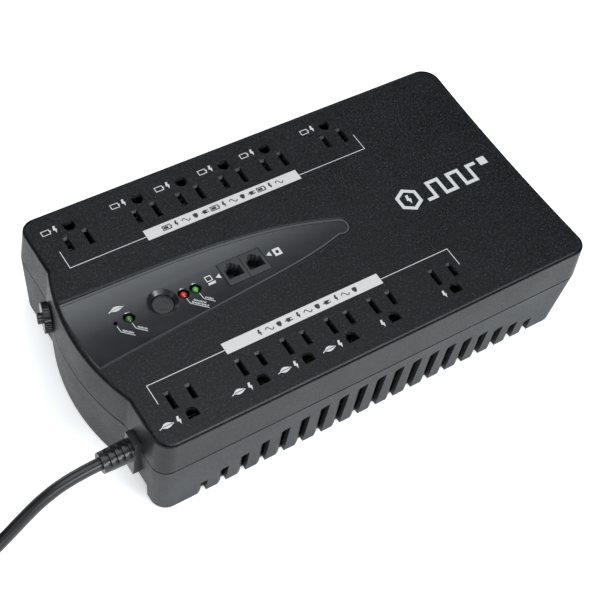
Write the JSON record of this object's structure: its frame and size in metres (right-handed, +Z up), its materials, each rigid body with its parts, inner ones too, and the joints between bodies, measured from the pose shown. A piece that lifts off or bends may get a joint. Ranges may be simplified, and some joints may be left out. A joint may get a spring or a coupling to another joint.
{
  "type": "uninterruptible power supply",
  "caption": "Low oblong backup power unit with rows of outlets on its top, a tongue-shaped control panel between them, a push-to-reset breaker and a mains cord.",
  "frame": {"origin": "centre of the footprint of the case and breaker, on the floor under the rubber feet", "axes": "+X along the length, away from the mains cord; +Y across the width, towards the battery-backed outlets; +Z up, out of the outlet face"},
  "size_m": [0.5188, 0.1744, 0.0741],
  "materials": {
    "cover_plastic": "fine spark grain",
    "tray_plastic": "fine spark grain",
    "panel_plastic": "satin",
    "label_film": "satin",
    "foot_rubber": "matte",
    "screw_steel": "zinc plated",
    "housing_plastic": "satin",
    "brass_strip": "satin",
    "board_laminate": "satin",
    "button_plastic": "satin",
    "switch_plastic": "matte",
    "red_lens": "gloss",
    "green_lens": "gloss",
    "jack_plastic": "gloss",
    "contact_gold": "polished",
    "breaker_plastic": "satin",
    "cord_rubber": "satin",
    "blade_brass": "polished",
    "core_insulation": "satin",
    "battery_case": "satin",
    "terminal_tin": "satin",
    "boot_vinyl": "satin",
    "black_lead": "satin",
    "red_lead": "satin",
    "core_steel": "varnished",
    "winding_tape": "satin",
    "bracket_steel": "zinc plated",
    "fin_aluminium": "satin",
    "epoxy_black": "matte",
    "can_sleeve": "satin",
    "relay_case": "satin",
    "fuse_glass": "gloss",
    "block_plastic": "satin",
    "varistor_epoxy": "satin",
    "choke_wire": "enamelled"
  },
  "bodies": {
    "case": {"battery": "battery_case", "battery_terminals": "terminal_tin", "board_screws": "screw_steel", "bottom_tray": "tray_plastic", "breaker_body": "breaker_plastic", "breaker_nut": "breaker_plastic", "button_bezel": "button_plastic", "buzzer": "epoxy_black", "capacitors": "can_sleeve", "case_screws": "screw_steel", "control_board": "board_laminate", "control_panel": "panel_plastic", "cord_coil": "cord_rubber", "cord_tail": "cord_rubber", "cord_tie": "cord_rubber", "eco_switch": "switch_plastic", "front_ground_busbar": "brass_strip", "front_hot_busbar": "brass_strip", "front_label": "label_film", "front_neutral_busbar": "brass_strip", "front_outlet_housing": "housing_plastic", "fuse": "fuse_glass", "green_lamps": "green_lens", "heatsinks": "fin_aluminium", "jack_contacts": "contact_gold", "mains_cores": "core_insulation", "modular_jack": "jack_plastic", "negative_lead": "black_lead", "panel_trim": "panel_plastic", "plug_blades": "blade_brass", "plug_body": "cord_rubber", "positive_lead": "red_lead", "power_board": "board_laminate", "power_cord": "cord_rubber", "power_switch": "switch_plastic", "power_transistors": "epoxy_black", "rear_ground_busbar": "brass_strip", "rear_hot_busbar": "brass_strip", "rear_label": "label_film", "rear_neutral_busbar": "brass_strip", "rear_outlet_housing": "housing_plastic", "red_lamp": "red_lens", "relays": "relay_case", "rubber_feet": "foot_rubber", "strain_relief": "cord_rubber", "surge_board": "board_laminate", "surge_choke": "choke_wire", "terminal_block": "block_plastic", "terminal_boots": "boot_vinyl", "top_cover": "cover_plastic", "transformer_bracket": "bracket_steel", "transformer_core": "core_steel", "transformer_winding": "winding_tape", "varistors": "varistor_epoxy"},
    "power_button": {"power_button": "button_plastic"},
    "eco_plunger": {"eco_plunger": "switch_plastic"},
    "breaker_button": {"breaker_button": "breaker_plastic"},
    "battery_door": {"battery_door": "tray_plastic"}
  },
  "joints": [
    {"name": "power_button_push", "type": "slide", "parent": "case", "child": "power_button", "axis": [0, 0, -1], "range_m": [0, 0.0018], "stiffness_N_per_m": 500, "springref_m": -0.0015},
    {"name": "eco_plunger_push", "type": "slide", "parent": "case", "child": "eco_plunger", "axis": [0, 0, -1], "range_m": [0, 0.0005], "stiffness_N_per_m": 400, "springref_m": -0.001},
    {"name": "breaker_button_push", "type": "slide", "parent": "case", "child": "breaker_button", "axis": [0.9632, -0.2689, 0], "range_m": [0, 0.0025], "stiffness_N_per_m": 600, "springref_m": -0.0015},
    {"name": "battery_door_slide", "type": "slide", "parent": "case", "child": "battery_door", "axis": [1, 0, 0], "range_m": [0, 0.012]}
  ]
}
